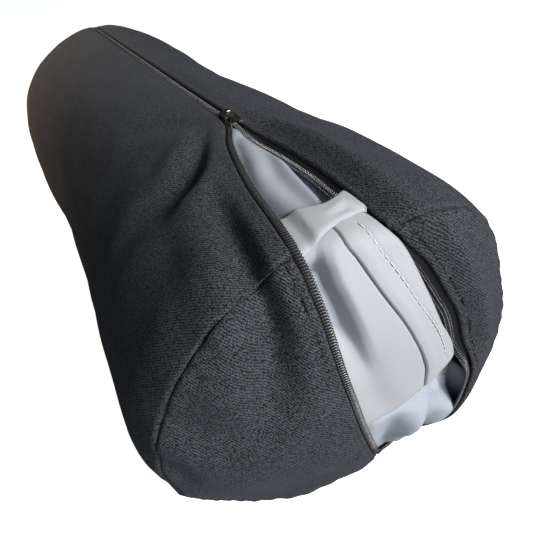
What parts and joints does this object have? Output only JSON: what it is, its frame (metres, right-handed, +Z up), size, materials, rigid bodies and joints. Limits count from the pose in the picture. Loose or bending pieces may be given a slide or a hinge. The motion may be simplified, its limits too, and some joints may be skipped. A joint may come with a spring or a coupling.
{
  "type": "bolster pillow",
  "caption": "Cylindrical bolster pillow with a dark cloth cover, part unzipped along the top and one end, over a pale zipped liner and a soft filling.",
  "frame": {"origin": "on the floor, under the middle of the roll", "axes": "+X along the roll towards the end whose cover zip is open, +Z up through the zip, +Y across the roll"},
  "size_m": [0.62, 0.22, 0.2179],
  "materials": {
    "cover_cloth": "dark charcoal brushed twill with a fine pale fleck",
    "liner_cloth": "pale blue-grey smooth lining cloth with a soft sheen",
    "zip_tape": "black woven zip tape",
    "zip_coil": "black nylon coil",
    "zip_metal": "dark painted die-cast zip metal, worn bright at its edges",
    "dark_thread": "dark sewing thread",
    "pale_thread": "pale sewing thread",
    "liner_zip_tape": "pale woven zip tape",
    "liner_zip_coil": "pale nylon coil",
    "liner_zip_metal": "pale painted zip metal",
    "fibre": "white polyester fibre"
  },
  "bodies": {
    "root": {"cover_tube_panel": "cover_cloth", "cover_far_end_panel": "cover_cloth", "cover_near_end_left": "cover_cloth", "cover_near_end_right": "cover_cloth", "near_rim_seam_thread": "dark_thread", "far_rim_seam_thread": "dark_thread", "zip_tape_left": "zip_tape", "zip_tape_right": "zip_tape", "zip_coil_left": "zip_coil", "zip_coil_right": "zip_coil", "zip_stitching_left": "pale_thread", "zip_stitching_right": "pale_thread", "zip_end_bar_tack": "dark_thread", "zip_closed_end_stop": "zip_metal", "liner_tube_panel": "liner_cloth", "liner_far_end_panel": "liner_cloth", "liner_near_end_panel": "liner_cloth", "liner_zip_tape_left": "liner_zip_tape", "liner_zip_tape_right": "liner_zip_tape", "liner_zip_coil_left": "liner_zip_coil", "liner_zip_coil_right": "liner_zip_coil", "liner_placket_lap": "liner_cloth", "liner_placket_underlap": "liner_cloth", "liner_lap_topstitching": "pale_thread", "liner_near_rim_seam_thread": "pale_thread", "liner_far_rim_seam_thread": "pale_thread", "fibre_fill": "fibre"},
    "zip_slider": {"zip_slider": "zip_metal"},
    "zip_pull": {"zip_pull_tab": "zip_metal"},
    "liner_slider": {"liner_zip_slider": "liner_zip_metal", "liner_zip_pull_tab": "liner_zip_metal"}
  },
  "joints": [
    {"name": "zip_slide", "type": "slide", "parent": "root", "child": "zip_slider", "axis": [-1, 0, 0], "range_m": [0, 0.38]},
    {"name": "zip_pull_hinge", "type": "hinge", "parent": "zip_slider", "child": "zip_pull", "pos_m": [0.1555, 0, 0.2163], "axis": [0, -1, 0], "range_deg": [0, 175]},
    {"name": "liner_zip_slide", "type": "hinge", "parent": "root", "child": "liner_slider", "pos_m": [0.07278, 0, 0.104], "axis": [0, 0.8973, 0.4415], "range_deg": [0, 27]}
  ]
}
